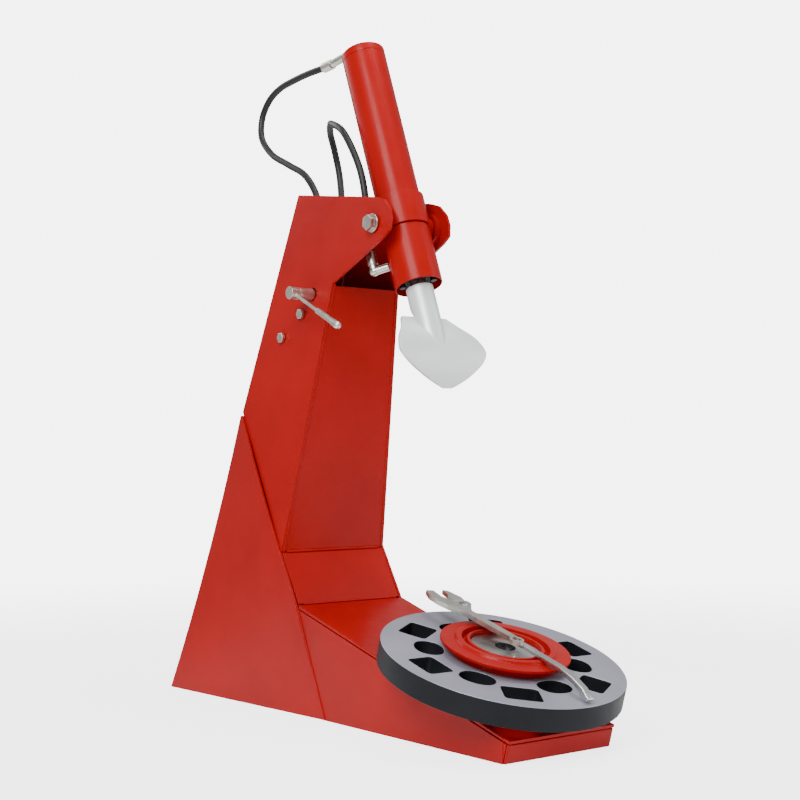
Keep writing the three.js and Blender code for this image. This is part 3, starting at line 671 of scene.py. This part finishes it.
def add_blade():
    """The blade as two curved faces, one blade's thickness apart, closed round their edges."""
    middle_at = blade_middle()
    bm = bmesh.new()
    faces = []
    for depth in (0, BLADE_THICKNESS):
        rows = []
        for i in range(BLADE_ROWS + 1):
            share, half = spline_point(BLADE_HALF, i / BLADE_ROWS)
            middle, along = middle_at(min(max(share, 0), 1))
            front = middle.x - depth * along.y
            down = middle.y + depth * along.x
            columns = (2 * j / BLADE_COLUMNS - 1 for j in range(BLADE_COLUMNS + 1))
            rows.append([bm.verts.new((half * across, -front, -down)) for across in columns])
        faces.append(rows)
    outer, inner = faces
    for i in range(BLADE_ROWS):
        for j in range(BLADE_COLUMNS):
            for rows in faces:
                bm.faces.new((rows[i][j], rows[i][j + 1], rows[i + 1][j + 1], rows[i + 1][j]))
        for j in (0, BLADE_COLUMNS):
            bm.faces.new((outer[i][j], outer[i + 1][j], inner[i + 1][j], inner[i][j]))
    for i in (0, BLADE_ROWS):
        for j in range(BLADE_COLUMNS):
            bm.faces.new((outer[i][j], outer[i][j + 1], inner[i][j + 1], inner[i][j]))
    dressed(as_object("blade_finished", bm, CYLINDER), "blade_rod", "blade_finish", ("blade",), 1.6, 3)


add_blade()


def shank_end(front):
    """How far below the trunnion the shank reaches at a given offset to the front."""
    (f0, d0), (f1, d1) = BLADE_LINE[:2]
    if front <= f0:
        return d0 + (front - f0) * (d1 - d0) / (f1 - f0)
    steps = [spline_point(BLADE_LINE, k / CUT_STEPS) for k in range(CUT_STEPS // 2 + 1)]
    return next((down for across, down in steps if across >= front), steps[-1][1])


def add_shank():
    """A tube cut obliquely where it meets the blade."""
    bm = bmesh.new()
    rings = []
    for radius, is_top in ((ROD_RADIUS + GAP, True), (SHANK_RADIUS, True),
                           (SHANK_RADIUS, False), (ROD_RADIUS + GAP, False)):
        points = []
        for k in range(SHANK_SIDES):
            turn = 2 * math.pi * k / SHANK_SIDES
            x, y = radius * math.cos(turn), radius * math.sin(turn)
            z = SHANK_TOP if is_top else SHANK_SHORT - shank_end(-y)
            points.append(bm.verts.new((x, y, z)))
        rings.append(points)
    for first, second in zip(rings, rings[1:] + rings[:1]):
        for k in range(SHANK_SIDES):
            n = (k + 1) % SHANK_SIDES
            bm.faces.new((first[k], first[n], second[n], second[k]))
    shank = as_object("blade_shank_finished", bm, CYLINDER)
    dressed(shank, "blade_rod", "blade_finish", ("blade_shank",), 0.7)


add_shank()
rounded("blade_set_screw", "blade_rod", "dark_steel", 0.4)
rounded("piston_rod", "blade_rod", "bright_steel", 0.6)
rounded("piston", "blade_rod", "bright_steel", 0.6)
rounded("piston_seal", "blade_rod", "seal_rubber", 0.3)


# ---------------------------------------------------------------- valve

for valve_node, valve_slot in (("valve_body", "dark_steel"), ("valve_neck", "zinc_plate"),
                               ("valve_screw_1", "zinc_plate"), ("valve_screw_2", "zinc_plate"),
                               ("air_inlet_coupler", "zinc_plate")):
    rounded(valve_node, "frame", valve_slot, 0.8, 3)
rounded("valve_lever", "valve_handle", "zinc_plate", 0.7)

VALVE_AXIS = (390, 747)
LEVER_ACROSS = -117.5
LEVER_DROP = math.radians(26)
# Where the grip starts along the lever, and a point further on that gives its direction.
GRIP_START = 83
GRIP_TOWARD = 150
GRIP_BORE_RADIUS = 3.6
GRIP_BORE_DEPTH = 27


def lever_point(along):
    """A point on the lever's axis, in metres, from its distance in millimetres from the valve."""
    forward = VALVE_AXIS[0] + along * math.cos(LEVER_DROP)
    return place(LEVER_ACROSS, forward, VALVE_AXIS[1] - along * math.sin(LEVER_DROP))


def add_grip():
    """The lever's grip: a bar that thickens to a round end."""
    bore = [(0, GRIP_BORE_DEPTH), (GRIP_BORE_RADIUS, GRIP_BORE_DEPTH)]
    outline = [
        (GRIP_BORE_RADIUS, 0), (5.2, 0), (5.6, 4), (5.5, 40), (6.4, 56),
        (7, 64), (6.6, 69), (5, 72.2), (2.6, 73.6), (0, 74),
    ]
    along = axis_matrix(lever_point(GRIP_START), lever_point(GRIP_TOWARD))
    grip = as_object("lever_grip_finished", revolved(bore + outline, SMALL_SIDES), along)
    dressed(grip, "valve_handle", "zinc_plate", ("lever_grip",), 0.5)


add_grip()


# ---------------------------------------------------------------- tools laid on the hub

rounded("tyre_lever", "tyre_lever", "bright_steel", 1.6, 3)
rounded("wrench_body", "wrench", "zinc_plate", 1.4, 3)
rounded("wrench_jaw", "wrench_jaw", "zinc_plate", 1.2, 3)

WORM_PLACE = (0, 131, 35.3)
WORM_SPAN = (9.3, 20.7)
WORM_ROOT = 4.5
WORM_TIP = 5.5
# Each ridge, as (radius, distance from its start), and where the ridges start along the worm.
RIDGE = [(WORM_ROOT, 0), (WORM_TIP, 0.3), (WORM_TIP, 0.8), (WORM_ROOT, 1.1)]
RIDGES_FROM = 9.6
RIDGE_PITCH = 1.4
RIDGE_COUNT = 8


def add_worm():
    """The wrench's knurled adjusting worm."""
    profile = [(0, WORM_SPAN[0])]
    for k in range(RIDGE_COUNT):
        start = RIDGES_FROM + RIDGE_PITCH * k
        profile += [(radius, start + step) for radius, step in RIDGE]
    profile.append((0, WORM_SPAN[1]))
    across = TURNTABLE @ Matrix.Translation(WORM_PLACE) @ Matrix.Rotation(math.radians(90), 4, "Y")
    dressed(as_object("wrench_worm_finished", revolved(profile, SMALL_SIDES), across),
            "wrench_worm", "bright_steel", ("wrench_worm",), 0)


add_worm()


# ---------------------------------------------------------------- studio

# How strongly the surroundings light the object, how bright they look, and how much the floor glows.
AMBIENT = 0.55
BACKDROP = 6.0
FLOOR_GLOW = 1.3
FLOOR_SIZE = 60
# How clear the floor is near the object, and the distances in metres over which it thins to nothing.
FLOOR_CLEAR = 0.4
FLOOR_SOLID = 0.8
FLOOR_GONE = 3.0
LIGHTS_AIM = (0, 0, 0.6)
# Each light's place and size in metres, and its power in watts.
LIGHTS = {
    "key": ((-2.6, -1.6, 2.6), 2.0, 150),
    "top": ((0.3, -0.6, 3.6), 2.2, 90),
    "fill": ((2.8, -2.4, 1.8), 3.0, 40),
    "back": ((-0.5, 3.0, 2.6), 2.4, 40),
}


def area_light(name, location, size, power):
    data = bpy.data.lights.new(name, "AREA")
    data.shape = "DISK"
    data.size = size
    data.energy = power
    light = bpy.data.objects.new(name, data)
    light.location = location
    light.rotation_euler = (Vector(LIGHTS_AIM) - Vector(location)).to_track_quat("-Z", "Y").to_euler()
    bpy.context.scene.collection.objects.link(light)


def add_surroundings():
    """A white world that the camera sees brighter than it lights the object."""
    world = bpy.data.worlds.new("studio")
    world.use_nodes = True
    tree = world.node_tree
    background = tree.nodes["Background"]
    background.inputs["Color"].default_value = (1, 1, 1, 1)
    rays = tree.nodes.new("ShaderNodeLightPath")
    strength = tree.nodes.new("ShaderNodeMapRange")
    strength.inputs["To Min"].default_value = AMBIENT
    strength.inputs["To Max"].default_value = BACKDROP
    tree.links.new(rays.outputs["Is Camera Ray"], strength.inputs["Value"])
    tree.links.new(strength.outputs["Result"], background.inputs["Strength"])
    bpy.context.scene.world = world


def thinned(tree, shader):
    """Makes a surface clearer with distance, so that the floor meets the backdrop with no horizon."""
    place_on_floor = tree.nodes.new("ShaderNodeTexCoord")
    reach = tree.nodes.new("ShaderNodeVectorMath")
    reach.operation = "LENGTH"
    tree.links.new(place_on_floor.outputs["Object"], reach.inputs[0])
    thinning = tree.nodes.new("ShaderNodeMapRange")
    thinning.interpolation_type = "SMOOTHSTEP"
    thinning.inputs["From Min"].default_value = FLOOR_SOLID
    thinning.inputs["From Max"].default_value = FLOOR_GONE
    thinning.inputs["To Min"].default_value = FLOOR_CLEAR
    tree.links.new(reach.outputs["Value"], thinning.inputs["Value"])
    blend = tree.nodes.new("ShaderNodeMixShader")
    clear = tree.nodes.new("ShaderNodeBsdfTransparent")
    tree.links.new(thinning.outputs["Result"], blend.inputs[0])
    tree.links.new(shader.outputs[0], blend.inputs[1])
    tree.links.new(clear.outputs[0], blend.inputs[2])
    tree.links.new(blend.outputs[0], tree.nodes["Material Output"].inputs["Surface"])


def add_floor():
    bpy.ops.mesh.primitive_plane_add(size=FLOOR_SIZE, location=(0, 0, 0))
    floor = bpy.context.object
    floor.name = "floor"
    made, tree, shader = node_material("pale_floor")
    shader.inputs["Base Color"].default_value = (0.92, 0.92, 0.92, 1)
    shader.inputs["Roughness"].default_value = 0.6
    shader.inputs["Emission Color"].default_value = (1, 1, 1, 1)
    shader.inputs["Emission Strength"].default_value = FLOOR_GLOW
    thinned(tree, shader)
    floor.data.materials.append(made)


for light_name, light_facts in LIGHTS.items():
    area_light(light_name, *light_facts)
add_surroundings()
add_floor()
